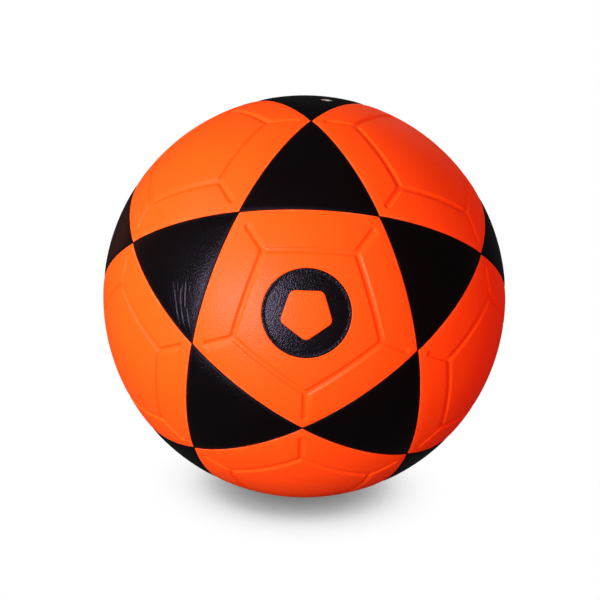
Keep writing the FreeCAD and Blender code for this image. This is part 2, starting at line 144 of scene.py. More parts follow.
def linear(hex_colour: str) -> tuple[float, float, float, float]:
    """Turns an sRGB hex colour to linear light.

    Args:
        hex_colour: a colour such as "#FF8000".

    Returns:
        Red, green, blue and alpha.
    """
    channels = [int(hex_colour[i:i + 2], 16) / 255 for i in (1, 3, 5)]
    red, green, blue = (
        c / 12.92 if c <= 0.04045 else ((c + 0.055) / 1.055) ** 2.4 for c in channels
    )
    return red, green, blue, 1.0


def add_node(
    tree: NodeTree, kind: str, inputs: dict[str | int, object] | None = None, **settings: object
) -> Node:
    """Adds a node with its settings and links.

    Args:
        tree: node tree that gets the node.
        kind: the node's type name.
        inputs: socket name or index, with the value it holds or the output socket that feeds it.
        **settings: properties of the node itself.

    Returns:
        The new node.
    """
    node = tree.nodes.new(kind)
    for name, setting in settings.items():
        setattr(node, name, setting)
    for socket, source in (inputs or {}).items():
        if isinstance(source, NodeSocket):
            tree.links.new(source, node.inputs[socket])
        else:
            node.inputs[socket].default_value = source
    return node


# ---- Finishes


def new_material(name: str) -> tuple[Material, NodeTree, Node]:
    """Makes an empty node material.

    Args:
        name: the material's name.

    Returns:
        The material, its node tree and its output node.
    """
    material = bpy.data.materials.new(name)
    material.use_nodes = True
    tree = material.node_tree
    tree.nodes.clear()
    return material, tree, add_node(tree, "ShaderNodeOutputMaterial")


def millimetre_space(tree: NodeTree) -> NodeSocket:
    """Place on the ball in millimetres, so that a pattern's scale is one over its real size.

    Args:
        tree: node tree of the material.

    Returns:
        The socket that carries the place.
    """
    place = add_node(tree, "ShaderNodeTexCoord").outputs["Object"]
    scale = (1 / MM,) * 3
    return add_node(tree, "ShaderNodeMapping", {"Vector": place, "Scale": scale}).outputs[0]


@dataclass(frozen=True)
class CoverLeather:
    """Polyurethane synthetic leather on a fabric backing, embossed by a roller and heat-moulded.

    The rim is lighter in worn patches, partly a painted highlight of its rounded edge, and duller
    than the face, and the last half millimetre before the seam is painted dark as shade in the
    seam. Both follow the edge_mm attribute of the mesh, the distance from the seam.
    """

    name: str
    colour: str
    mottle: str
    rim: str
    seam_shade_colour: str
    grain_mm: float
    grain_depth_mm: float
    roughness: float
    specular: float
    gloss_tint: str = "#FFFFFF"
    ior: float = 1.46
    gloss_spread: tuple[float, float] = (-0.01, 0.03)
    rim_dulling: float = 0.22
    rim_mm: tuple[float, float] = (0.9, 1.6)
    seam_shade_mm: tuple[float, float] = (0.2, 0.5)
    wear_mm: float = 9.0
    wear_range: tuple[float, float] = (0.42, 0.62)
    mottle_mm: float = 26.0
    cloud_depth_mm: float = 0.03
    cloud_mm: float = 5.0

    def grain_height(self, tree: NodeTree, place: NodeSocket) -> NodeSocket:
        """Height of the embossed grain, from 0 to 1: rounded pebbles with uneven outlines.

        Args:
            tree: node tree of the material.
            place: position in millimetres.

        Returns:
            The socket that carries the height.
        """
        fine = add_node(tree, "ShaderNodeTexNoise", {
            "Vector": place, "Scale": 1 / (0.5 * self.grain_mm), "Detail": 3.0, "Roughness": 0.6,
        })
        warped = add_node(tree, "ShaderNodeVectorMath", {
            0: fine.outputs["Color"], 1: (0.25 * self.grain_mm,) * 3, 2: place,
        }, operation="MULTIPLY_ADD")
        pebble = add_node(tree, "ShaderNodeTexVoronoi", {
            "Vector": warped.outputs[0], "Scale": 1 / self.grain_mm, "Smoothness": 0.35,
        }, feature="SMOOTH_F1")
        domed = add_node(tree, "ShaderNodeMapRange", {
            "Value": pebble.outputs["Distance"], "From Min": 0.1, "From Max": 0.75,
            "To Min": 1.0, "To Max": 0.0,
        }, interpolation_type="SMOOTHSTEP")
        return domed.outputs[0]

    def build(self) -> Material:
        """Makes the material: mottled colour, a lighter rim that is partly painted highlight,
        painted shade in the seam, and grain as bump.

        Returns:
            The new material.
        """
        material, tree, output = new_material(self.name)
        place = millimetre_space(tree)
        cloud = add_node(tree, "ShaderNodeTexNoise", {
            "Vector": place, "Scale": 1 / self.mottle_mm, "Detail": 4.0, "Roughness": 0.55,
        }).outputs["Fac"]
        edge = add_node(tree, "ShaderNodeAttribute", attribute_name="edge_mm").outputs["Fac"]
        # near_rim marks the rim, which gets a lighter colour in worn patches, partly a painted
        # highlight of its rounded edge; cut marks the last half millimetre before the seam, painted
        # dark as shade in the seam.
        near_rim, cut = (
            add_node(tree, "ShaderNodeMapRange", {
                "Value": edge, "From Min": outer, "From Max": inner,
            }, interpolation_type="SMOOTHSTEP").outputs[0]
            for inner, outer in (self.rim_mm, self.seam_shade_mm)
        )
        patchy = add_node(tree, "ShaderNodeTexNoise", {
            "Vector": place, "Scale": 1 / self.wear_mm, "Detail": 2.0,
        })
        worn = add_node(tree, "ShaderNodeMapRange", {
            "Value": patchy.outputs["Fac"],
            "From Min": self.wear_range[0], "From Max": self.wear_range[1],
        })
        wear_and_edge_highlight = add_node(tree, "ShaderNodeMath", {
            0: worn.outputs[0], 1: near_rim,
        }, operation="MULTIPLY").outputs[0]
        # Mottle, then the lighter rim (partly a painted highlight), then the painted seam shade.
        colour: object = linear(self.colour)
        for share, over in ((cloud, self.mottle), (wear_and_edge_highlight, self.rim), (cut, self.seam_shade_colour)):
            colour = add_node(tree, "ShaderNodeMix", {
                0: share, MIX_A: colour, MIX_B: linear(over),
            }, data_type="RGBA").outputs[MIX_OUT]
        gloss = add_node(tree, "ShaderNodeMapRange", {
            "Value": cloud, "From Min": NOISE_LOW, "From Max": NOISE_HIGH,
            "To Min": self.roughness + self.gloss_spread[0],
            "To Max": self.roughness + self.gloss_spread[1],
        })
        dulled = add_node(tree, "ShaderNodeMath", {
            0: near_rim, 1: self.rim_dulling, 2: gloss.outputs[0],
        }, operation="MULTIPLY_ADD")
        waves = add_node(tree, "ShaderNodeTexNoise", {
            "Vector": place, "Scale": 1 / self.cloud_mm, "Detail": 2.0,
        })
        soft = add_node(tree, "ShaderNodeBump", {
            "Height": waves.outputs["Fac"], "Distance": self.cloud_depth_mm * MM,
        })
        grain = add_node(tree, "ShaderNodeBump", {
            "Height": self.grain_height(tree, place), "Distance": self.grain_depth_mm * MM,
            "Normal": soft.outputs[0],
        })
        leather = add_node(tree, "ShaderNodeBsdfPrincipled", {
            "Base Color": colour, "Roughness": dulled.outputs[0],
            "IOR": self.ior, "Specular IOR Level": self.specular,
            "Specular Tint": linear(self.gloss_tint), "Normal": grain.outputs[0],
        })
        tree.links.new(leather.outputs[0], output.inputs["Surface"])
        return material


@dataclass(frozen=True)
class MouldedRubber:
    """Rubber or foam cured in a mould: one body colour, faintly clouded, with a fine tooth."""

    name: str
    colour: str
    cloud: str
    roughness: float
    ior: float
    grain_mm: float
    grain_depth_mm: float
    cloud_mm: float = 14.0
    gloss_spread: float = 0.05

    def build(self) -> Material:
        """Makes the material: clouded colour, uneven gloss and a fine tooth as bump.

        Returns:
            The new material.
        """
        material, tree, output = new_material(self.name)
        place = millimetre_space(tree)
        cloud = add_node(tree, "ShaderNodeTexNoise", {
            "Vector": place, "Scale": 1 / self.cloud_mm, "Detail": 4.0,
        })
        colour = add_node(tree, "ShaderNodeMix", {
            0: cloud.outputs["Fac"], MIX_A: linear(self.colour), MIX_B: linear(self.cloud),
        }, data_type="RGBA")
        gloss = add_node(tree, "ShaderNodeMapRange", {
            "Value": cloud.outputs["Fac"], "From Min": NOISE_LOW, "From Max": NOISE_HIGH,
            "To Min": self.roughness - self.gloss_spread,
            "To Max": self.roughness + self.gloss_spread,
        })
        tooth = add_node(tree, "ShaderNodeTexNoise", {
            "Vector": place, "Scale": 1 / self.grain_mm, "Detail": 4.0,
        })
        bump = add_node(tree, "ShaderNodeBump", {
            "Height": tooth.outputs["Fac"], "Distance": self.grain_depth_mm * MM,
        })
        rubber = add_node(tree, "ShaderNodeBsdfPrincipled", {
            "Base Color": colour.outputs[MIX_OUT], "Roughness": gloss.outputs[0],
            "IOR": self.ior, "Normal": bump.outputs[0],
        })
        tree.links.new(rubber.outputs[0], output.inputs["Surface"])
        return material


@dataclass(frozen=True)
class WoundThread:
    """Nylon filament wound round the bladder in every direction and held with latex."""

    name: str
    colour: str
    shadow: str
    thread_mm: float
    roughness: float
    relief: float = 0.4
    turns: tuple[tuple[float, float, float], ...] = (
        (0.0, 0.0, 0.0), (1.1, 0.4, 0.9), (0.5, 1.3, 2.0),
    )

    def build(self) -> Material:
        """Makes the material: bands of thread that cross each other, with painted shade between
        them.

        Returns:
            The new material.
        """
        material, tree, output = new_material(self.name)
        place = millimetre_space(tree)
        lay: NodeSocket | None = None
        for turn in self.turns:
            turned = add_node(tree, "ShaderNodeMapping", {"Vector": place, "Rotation": turn})
            band = add_node(tree, "ShaderNodeTexWave", {
                "Vector": turned.outputs[0], "Scale": 1 / (self.thread_mm * WAVE_BANDS),
                "Distortion": 1.5, "Detail": 1.0,
            }).outputs["Fac"]
            if lay is None:
                lay = band
            else:
                over = add_node(tree, "ShaderNodeMath", {0: lay, 1: band}, operation="MAXIMUM")
                lay = over.outputs[0]
        # The gaps between the bands get the shadow colour, which is painted shade.
        colour = add_node(tree, "ShaderNodeMix", {
            0: lay, MIX_A: linear(self.shadow), MIX_B: linear(self.colour),
        }, data_type="RGBA")
        bump = add_node(tree, "ShaderNodeBump", {
            "Height": lay, "Distance": self.relief * self.thread_mm * MM,
        })
        nylon = add_node(tree, "ShaderNodeBsdfPrincipled", {
            "Base Color": colour.outputs[MIX_OUT], "Roughness": self.roughness,
            "IOR": 1.53, "Sheen Weight": 0.2, "Normal": bump.outputs[0],
        })
        tree.links.new(nylon.outputs[0], output.inputs["Surface"])
        return material


# Neon orange with a satin skin: the light rolls off it without a hard glint. The roller's grain
# is finer than half a millimetre, and is drawn coarser, because it would not show at its real size.
ORANGE_LEATHER = CoverLeather(
    name="PU leather, fine roller grain, neon orange",
    colour="#FF5A12", mottle="#FF5E15", rim="#FF6A2C", seam_shade_colour="#3A0C04",
    grain_mm=0.9, grain_depth_mm=0.05,
    roughness=0.38, specular=0.18,
)
# Near black with a tighter gloss, so that the pebbles sparkle where the key light grazes them.
BLACK_LEATHER = CoverLeather(
    name="PU leather, pebble emboss, black",
    colour="#060404", mottle="#090707", rim="#0B0909", seam_shade_colour="#050404",
    grain_mm=0.75, grain_depth_mm=0.07, cloud_depth_mm=0.015,
    roughness=0.29, specular=0.29, gloss_tint="#E6DAF5",
)
# The inlay's pebbles are as wide as the panels' and deeper, with a stronger gloss, so it looks
# grainier. Its rim is not dulled, but it still gets the lighter rim colour, partly a painted
# highlight, and the painted seam shade.
INLAY_LEATHER = CoverLeather(
    name="PU leather inlay, coarse pebble emboss, black",
    colour="#070607", mottle="#0B090A", rim="#0D0B0C", seam_shade_colour="#050404",
    grain_mm=0.75, grain_depth_mm=0.08, cloud_depth_mm=0.02,
    roughness=0.29, specular=0.39, rim_dulling=0.0, gloss_tint="#E6DAF5",
)
# Silicone: pale, milky and soft-looking, with hardly any grain from the mould.
PLUG_SILICONE = MouldedRubber(
    name="Moulded silicone rubber, pale grey", colour="#B2C6C4", cloud="#A8BCBA",
    roughness=0.5, ior=1.41, grain_mm=0.4, grain_depth_mm=0.01,
)
# Compression-moulded rubber: flat black with the mould's faint tooth.
HOUSING_RUBBER = MouldedRubber(
    name="Moulded natural rubber, black", colour="#1E1D1D", cloud="#272524",
    roughness=0.62, ior=1.52, grain_mm=0.5, grain_depth_mm=0.03,
)
# Rolled rubber sheet, dusted before it is laid up: dry and dark grey.
CARCASS_RUBBER = MouldedRubber(
    name="Calendered natural rubber, dark grey", colour="#2A2827", cloud="#343130",
    roughness=0.7, ior=1.52, grain_mm=0.6, grain_depth_mm=0.04,
)
# Dipped butyl: the smoothest of the rubbers, with a soft shine and slow waves in it.
BLADDER_RUBBER = MouldedRubber(
    name="Dipped butyl rubber, black", colour="#171718", cloud="#202022",
    roughness=0.4, ior=1.52, grain_mm=1.2, grain_depth_mm=0.03,
)
# Closed-cell foam: chalky off-white, with cut cells that give it a fine rough tooth.
BACKING_FOAM = MouldedRubber(
    name="Closed-cell EVA foam, off-white", colour="#E6E2D8", cloud="#DBD6CA",
    roughness=0.85, ior=1.45, grain_mm=0.7, grain_depth_mm=0.12,
)
# Nylon thread under latex: creamy strands that cross each other, with painted shade in the gaps
# between them.
NYLON_THREAD = WoundThread(
    name="Wound nylon thread, natural", colour="#DCD6C4", shadow="#6E6856",
    thread_mm=0.35, roughness=0.55,
)


# ---- Meshes


def shell_mesh(name: str, top: Array, rings: Array, bottom: Array, edge_mm: Array) -> Object:
    """Makes a closed mesh from rings that run from a top point over the rim to a bottom point.

    Args:
        name: name of the piece.
        top: point in the middle of the face, in millimetres.
        rings: points of each ring, rings by columns by 3, in millimetres.
        bottom: point in the middle of the back.
        edge_mm: distance from the seam of each point, in the order top, rings, bottom.

    Returns:
        The new object, linked to the scene.
    """
    count, columns = rings.shape[:2]
    points = np.concatenate([top[None], rings.reshape(-1, 3), bottom[None]]) * MM
    here = np.arange(columns)
    ahead = (here + 1) % columns
    starts = 1 + columns * np.arange(count - 1)[:, None]
    below = starts + columns
    quads = np.stack([starts + here, below + here, below + ahead, starts + ahead], -1)
    last = 1 + columns * (count - 1)
    faces = quads.reshape(-1, 4).tolist()
    faces += [(0, int(1 + i), int(1 + j)) for i, j in zip(here, ahead)]
    faces += [(len(points) - 1, int(last + j), int(last + i)) for i, j in zip(here, ahead)]
    mesh = bpy.data.meshes.new(name)
    mesh.from_pydata(points.tolist(), [], faces)
    mesh.polygons.foreach_set("use_smooth", np.ones(len(faces), bool))
    layer = mesh.attributes.new("edge_mm", "FLOAT", "POINT")
    layer.data.foreach_set("value", edge_mm.astype(np.float32))
    mesh.update()
    return add_object(name, mesh)


class Slot(Enum):
    """Material slots of the record."""

    ORANGE = "orange_cover"
    BLACK = "black_cover"
    INLAY = "black_inlay"


def dress(piece: Object, material: Material) -> None:
    """Gives a piece one material and the body it rides on.

    Args:
        piece: new piece of the scene.
        material: its finish.
    """
    piece.data.materials.clear()
    piece.data.materials.append(material)
    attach(piece, "root")


# ---- The ball's layout

# Two pentagons are next to each other when the cosine between their middles is above this.
NEIGHBOUR_COSINE = 0.4
# A panel whose middle points this nearly straight up or down takes +Y for its up direction.
POLE_COSINE = 0.999
FRONT_PANEL = "pentagon_panel_front"
VALVE_PANEL = "triangle_panel_top"


def centre_of(node: str) -> Array:
    """Finds the middle of a panel from its CAD mesh.

    Args:
        node: the panel's name.

    Returns:
        Its unit direction.
    """
    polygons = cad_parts[node].data.polygons
    areas = np.zeros(len(polygons))
    centres = np.zeros(3 * len(polygons))
    polygons.foreach_get("area", areas)
    polygons.foreach_get("center", centres)
    return unit(areas @ centres.reshape(-1, 3))


@dataclass(frozen=True)
class Layout:
    """Radius of the ball, and where its panels and their corners lie."""

    radius: float
    centres: dict[str, Array]
    corners: Array

    @classmethod
    def from_frame(cls) -> "Layout":
        """Reads the layout from the CAD nodes: corners lie midway between adjacent pentagons.

        Returns:
            The layout, in millimetres.
        """
        low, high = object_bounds()
        panels = [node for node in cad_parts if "_panel_" in node]
        centres = {node: centre_of(node) for node in panels}
        pentagons = [centre for node, centre in centres.items() if node.startswith("pentagon")]
        corners = [
            unit(a + b)
            for i, a in enumerate(pentagons) for b in pentagons[:i] if a @ b > NEIGHBOUR_COSINE
        ]
        return cls((high.z - low.z) / 2 / MM, centres, np.array(corners))

    def axes(self, node: str) -> tuple[Array, Array, Array]:
        """Finds a panel's own directions.

        Args:
            node: the panel's name.

        Returns:
            Unit directions to its right, upwards and outwards.
        """
        out = self.centres[node]
        level = abs(out[2]) < POLE_COSINE
        pole = np.array((0.0, 0.0, 1.0)) if level else np.array((0.0, 1.0, 0.0))
        up = unit(pole - out * (out @ pole))
        return np.cross(up, out), up, out

    def corners_of(self, node: str, sides: int) -> Array:
        """A panel's corners, counter-clockwise as seen from outside.

        Args:
            node: the panel's name.
            sides: how many corners it has.

        Returns:
            Unit directions, one per row.
        """
        right, up, out = self.axes(node)
        near = self.corners[np.argsort(-self.corners @ out)[:sides]]
        return near[np.argsort(np.arctan2(near @ up, near @ right))]


# ---- Cover panels


@dataclass(frozen=True)
class Row:
    """One ring of a panel's face: how far out it lies, how round it is, and how far it is sunk."""

    reach: float
    roundness: float = 0.0
    sunk: float = 0.0


@dataclass(frozen=True)
class Crease:
    """A stretch crease in the skin: a line through points right and up from the panel's middle."""

    points: tuple[tuple[float, float], ...]
    width: float
    height: float
    trough_width: float = 2.4
    trough_share: float = 0.4

    def relief(self, flat: Array) -> Array:
        """Height of the crease at places on the panel.

        Args:
            flat: places right and up from the panel's middle, one per row.

        Returns:
            Heights in millimetres: a ridge with a shallow trough on each side.
        """
        line = np.array(self.points, float)
        lengths = np.linalg.norm(np.diff(line, axis=0), axis=1)
        before = np.concatenate([[0.0], np.cumsum(lengths)])
        distance = np.full(len(flat), np.inf)
        along = np.zeros(len(flat))
        for i, length in enumerate(lengths):
            run = (line[i + 1] - line[i]) / length
            t = np.clip((flat - line[i]) @ run, 0, length)
            away = np.linalg.norm(flat - line[i] - t[:, None] * run, axis=1)
            closer = away < distance
            distance = np.where(closer, away, distance)
            along = np.where(closer, (before[i] + t) / before[-1], along)
        taper = np.sqrt(np.clip(np.sin(np.pi * along), 0, 1))
        ridge = np.exp(-((distance / self.width) ** 2))
        trough = np.exp(-((distance / (self.trough_width * self.width)) ** 2))
        return self.height * taper * ((1 + self.trough_share) * ridge - self.trough_share * trough)


@dataclass
class CoverPanel:
    """One panel of the cover, built ring by ring from its middle to its seam and round its back.

    Rows stand evenly up to edge_zone from the seam, and then at seam_steps from it.
    """

    node: str
    layout: Layout
    sides: int
    thickness: float = 2.6
    half_joint: float = 0.06
    rim_round: float = 0.75
    crown_drop: float = 0.25
    crown_width: float = 5.5
    column_step: float = 0.9
    row_step: float = 1.0
    edge_zone: float = 5.5
    seam_steps: tuple[float, ...] = (
        5.0, 4.0, 3.2, 2.5, 2.0, 1.6, 1.3, 1.0, 0.8, 0.6, 0.45, 0.32, 0.22, 0.14,
    )
    back_shares: tuple[float, ...] = (0.6, 0.2)
    crease_fade: tuple[float, float] = (0.8, 2.5)
    creases: tuple[Crease, ...] = ()
    corners: Array = field(init=False)
    side_poles: Array = field(init=False)

    def __post_init__(self) -> None:
        """Finds the panel's corners, and for each side the pole that points into the panel."""
        self.corners = self.layout.corners_of(self.node, self.sides)
        self.side_poles = unit(np.cross(self.corners, np.roll(self.corners, -1, axis=0)))

    @property
    def side_reach(self) -> float:
        """Distance over the ball from the panel's middle to the middle of a side."""
        return self.layout.radius * math.asin(self.side_poles[0] @ self.layout.centres[self.node])

    def side_shares(self) -> Array:
        """Where the columns leave a side, as shares of it, without its end."""
        length = self.layout.radius * math.acos(self.corners[0] @ self.corners[1])
        return np.linspace(0, 1, round(length / self.column_step), endpoint=False)

    def seam_rows(self) -> list[Row]:
        """Rows over the crown and the turned-down rim, close together where it curves most."""
        return [Row(self.side_reach - step) for step in (*self.seam_steps, self.half_joint)]

    def inner_rows(self) -> list[Row]:
        """Evenly spaced rows from the middle to the crown."""
        reach = self.side_reach - self.edge_zone
        return [Row(r) for r in np.linspace(0, reach, round(reach / self.row_step) + 1)[1:]]

    def ring_directions(self, rows: list[Row]) -> Array:
        """Directions of every point of the rings, on rays from the panel's middle to its sides.

        Args:
            rows: the rings.

        Returns:
            Unit directions, rows by columns by 3.
        """
        out = self.layout.centres[self.node]
        flat = self.corners / (self.corners @ out)[:, None]
        shares = self.side_shares()[None, :, None]
        border = flat[:, None] + shares * (np.roll(flat, -1, axis=0) - flat)[:, None]
        spread = border.reshape(-1, 3) - out
        rays = unit(spread)
        reach = np.tan(np.array([row.reach for row in rows]) / self.layout.radius)[:, None, None]
        round_share = np.array([row.roundness for row in rows])[:, None, None]
        side = math.tan(self.side_reach / self.layout.radius)
        return unit(out + (1 - round_share) * reach / side * spread + round_share * reach * rays)

    def seam_distance(self, directions: Array) -> Array:
        """Distance over the ball from each point to each side, points by sides."""
        return self.layout.radius * np.arcsin(np.clip(directions @ self.side_poles.T, 0, 1))

    def relief(self, directions: Array) -> Array:
        """Height of the skin over the ball's sphere: crown, rim and creases.

        Args:
            directions: unit directions of the points, one per row.

        Returns:
            Heights in millimetres.
        """
        away = self.seam_distance(directions)
        inside = np.clip(self.rim_round - away, 0, self.rim_round)
        rim = self.rim_round - np.sqrt(self.rim_round**2 - inside**2)
        crown = self.crown_drop * np.clip(1 - away / self.crown_width, 0, 1) ** 2
        height = -rim.max(axis=1) - crown.sum(axis=1)
        if self.creases:
            right, up, out = self.layout.axes(self.node)
            aside = directions @ np.stack([right, up], 1)
            flat = self.layout.radius * aside / (directions @ out)[:, None]
            fade = smooth_step(*self.crease_fade, away.min(axis=1))
            height += fade * sum(crease.relief(flat) for crease in self.creases)
        return height

    def rows(self) -> list[Row]:
        """All rings of the face, from the middle outwards."""
        return self.inner_rows() + self.seam_rows()

    def build(self) -> Object:
        """Makes the panel's mesh and lets it stand for the CAD node of the same place.

        Returns:
            The new panel.
        """
        rows = self.rows()
        directions = self.ring_directions(rows)
        flat = directions.reshape(-1, 3)
        sunk = np.repeat([row.sunk for row in rows], directions.shape[1])
        radius = self.layout.radius
        face = flat * (radius + self.relief(flat) - sunk)[:, None]
        back_rows = [Row(self.side_reach - self.half_joint)]
        back_rows += [Row(share * self.side_reach) for share in self.back_shares]
        back = self.ring_directions(back_rows) * (radius - self.thickness)
        out = self.layout.centres[self.node]
        top = out * (radius - rows[0].sunk)
        rings = np.concatenate([face.reshape(directions.shape), back])
        edge = self.seam_distance(flat).min(axis=1)
        ends = np.zeros(back[..., 0].size + 1)
        piece = shell_mesh(
            self.node.replace("_panel_", "_cover_"), top, rings, out * (radius - self.thickness),
            np.concatenate([[self.side_reach], edge, ends]),
        )
        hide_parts(self.node)
        return piece


@dataclass
class PentagonPanel(CoverPanel):
    """Orange panel with the pressed inner pentagon and a spoke out of each of its corners.

    The groove's corners and the spokes' ends are angles from the panel's middle, in degrees. The
    middle has round rings, which turn into pentagons on the way out to the groove: round_rows are
    their reaches, and turning_rows each have a reach and a share of roundness. Rows stand close
    together again from tip_before the spokes' ends to tip_after them.
    """

    sides: int = 5
    groove_corner: float = 20.08
    groove_end: float = 27.6
    groove_nose: float = 2.06
    groove_shoulder: float = 0.55
    groove_depth: float = 0.9
    press_shift: tuple[float, float] = (0.0, 0.0)
    fine_step: float = 0.34
    fine_columns: int = 9
    middle_columns: int = 26
    groove_side: float = 48.0
    between_rows: int = 8
    row_margin: float = 0.2
    tip_before: float = 1.0
    tip_after: float = 2.2
    tip_gap: float = 0.4
    round_rows: tuple[float, ...] = (3.0, 6.5, 10.0, 13.5, 17.0, 20.0, 21.3)
    turning_rows: tuple[tuple[float, float], ...] = (
        (22.6, 0.85), (23.9, 0.6), (25.2, 0.35), (26.3, 0.1),
    )

    @property
    def groove_half_width(self) -> float:
        """Distance from a groove's middle to where its shoulder runs out into the face.

        Returns:
            Millimetres over the ball.
        """
        centres_apart = self.groove_nose + self.groove_shoulder
        rise = self.groove_nose - self.groove_depth + self.groove_shoulder
        return math.sqrt(centres_apart**2 - rise**2)

    def groove_arcs(self) -> list[tuple[Array, Array]]:
        """Start and end of each groove's middle line, where the mould happened to press them.

        Returns:
            Pairs of unit directions.
        """
        right, up, out = self.layout.axes(self.node)
        shift = (self.press_shift[0] * right + self.press_shift[1] * up) / self.layout.radius
        inner, ends = (
            [unit(swing(out, corner, angle) + shift) for corner in self.corners]
            for angle in (self.groove_corner, self.groove_end)
        )
        return list(zip(inner, inner[1:] + inner[:1])) + list(zip(inner, ends))

    def groove_share(self, away: Array) -> Array:
        """How deep the groove is at a distance from its middle, as a share of its full depth.

        Args:
            away: distances from the middle line.

        Returns:
            1 in the middle of the round nose, 0 past the rounded shoulder.
        """
        nose, shoulder, width = self.groove_nose, self.groove_shoulder, self.groove_half_width
        floor = nose - self.groove_depth - np.sqrt(nose**2 - np.clip(away, 0, nose) ** 2)
        from_lip = np.clip(width - away, 0, shoulder)
        lip = np.sqrt(np.clip(shoulder**2 - from_lip**2, 0, None)) - shoulder
        turn = width * nose / (nose + shoulder)
        return -np.where(away < turn, floor, lip) / self.groove_depth

    def side_shares(self) -> Array:
        """Columns stand closer near the corners, where the spokes run.

        Returns:
            Shares of the side, without its end.
        """
        near = np.arange(self.fine_columns) * self.fine_step / self.groove_side
        middle = np.linspace(near[-1], 1 - near[-1], self.middle_columns)[1:-1]
        return np.concatenate([near, middle, 1 - near[:0:-1]])

    def inner_rows(self) -> list[Row]:
        """Round rings in the middle that turn into pentagons, close together over the grooves.

        Returns:
            The rows, from the middle outwards.
        """
        radius = self.layout.radius
        side = math.tan(self.side_reach / radius)
        corner = math.tan(math.acos(self.corners[0] @ self.layout.centres[self.node]))
        groove, spoke_end = (
            radius * math.atan(math.tan(math.radians(angle)) * side / corner)
            for angle in (self.groove_corner, self.groove_end)
        )
        width = self.groove_half_width
        centre = [Row(r, 1.0) for r in self.round_rows]
        turning = [Row(r, share) for r, share in self.turning_rows]
        slack = self.row_margin + math.hypot(*self.press_shift)
        ring = np.arange(groove - width - slack, groove + width + slack, self.fine_step)
        tip_start = spoke_end - self.tip_before - slack
        between = np.linspace(ring[-1], tip_start, self.between_rows)[1:-1]
        crown = self.side_reach - self.seam_steps[0] - self.row_margin
        tip_end = min(spoke_end + self.tip_after + slack, crown)
        tip = np.arange(between[-1] + self.tip_gap, tip_end, self.fine_step)
        return centre + turning + [Row(r) for r in (*ring, *between, *tip)]

    def relief(self, directions: Array) -> Array:
        """Adds the grooves, which run into each other without a crease.

        Args:
            directions: unit directions of the points, one per row.

        Returns:
            Heights in millimetres.
        """
        untouched = np.ones(len(directions))
        for start, end in self.groove_arcs():
            away = self.layout.radius * arc_distance(directions, start, end)
            untouched *= 1 - self.groove_share(away)
        return super().relief(directions) - self.groove_depth * (1 - untouched)


@dataclass
class RoundelPanel(PentagonPanel):
    """Front pentagon, with the round seat that the inlay lies in."""

    press_shift: tuple[float, float] = (0.8, -1.6)
    seat_radius: float = 21.55
    seat_depth: float = 0.95
    seat_rows: tuple[float, ...] = (7.0, 14.0, 21.0)
    lip: float = 0.3
    lip_turns: tuple[float, ...] = (0.0, 22.5, 45.0, 67.5, 90.0)
    lip_gap: float = 0.3

    def inner_rows(self) -> list[Row]:
        """Replaces the middle rings by the seat's floor, its wall and a small rounded lip.

        Returns:
            The rows, from the middle outwards.
        """
        floor = [Row(r, 1.0, self.seat_depth) for r in (*self.seat_rows, self.seat_radius)]
        turns = [math.radians(a) for a in self.lip_turns]
        wall = [
            Row(self.seat_radius + self.lip * (1 - math.cos(a)), 1.0, self.lip * (1 - math.sin(a)))
            for a in turns
        ]
        first = self.seat_radius + self.lip + self.lip_gap
        return floor + wall + [row for row in super().inner_rows() if row.reach > first]


@dataclass
class TrianglePanel(CoverPanel):
    """Black panel, more domed towards its seams than the orange ones and cut sharper."""

    sides: int = 3
    rim_round: float = 0.28
    crown_drop: float = 0.42
    crown_width: float = 7.0


@dataclass
class ValvePanel(TrianglePanel):
    """Top triangle, with the round hole that the valve plug shows through."""

    hole_radius: float = 3.15
    hole_sides: int = 64
    cutter_length: float = 30.0

    def build(self) -> Object:
        """Cuts the hole along the plug's own axis, which runs through the ball's middle.

        Returns:
            The new panel.
        """
        piece = super().build()
        low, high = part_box("valve_plug")
        axis = Vector(low + high).normalized()
        bpy.ops.mesh.primitive_cylinder_add(
            vertices=self.hole_sides, radius=self.hole_radius * MM, depth=self.cutter_length * MM,
            location=axis * self.layout.radius * MM,
            rotation=axis.to_track_quat("Z", "Y").to_euler(),
        )
        cutter = bpy.context.object
        cut = piece.modifiers.new("valve_hole", "BOOLEAN")
        cut.operation = "DIFFERENCE"
        cut.object = cutter
        cut.solver = "EXACT"
        evaluated = piece.evaluated_get(bpy.context.evaluated_depsgraph_get())
        mesh = bpy.data.meshes.new_from_object(evaluated)
        piece.modifiers.clear()
        piece.data = mesh
        bpy.data.objects.remove(cutter)
        return piece


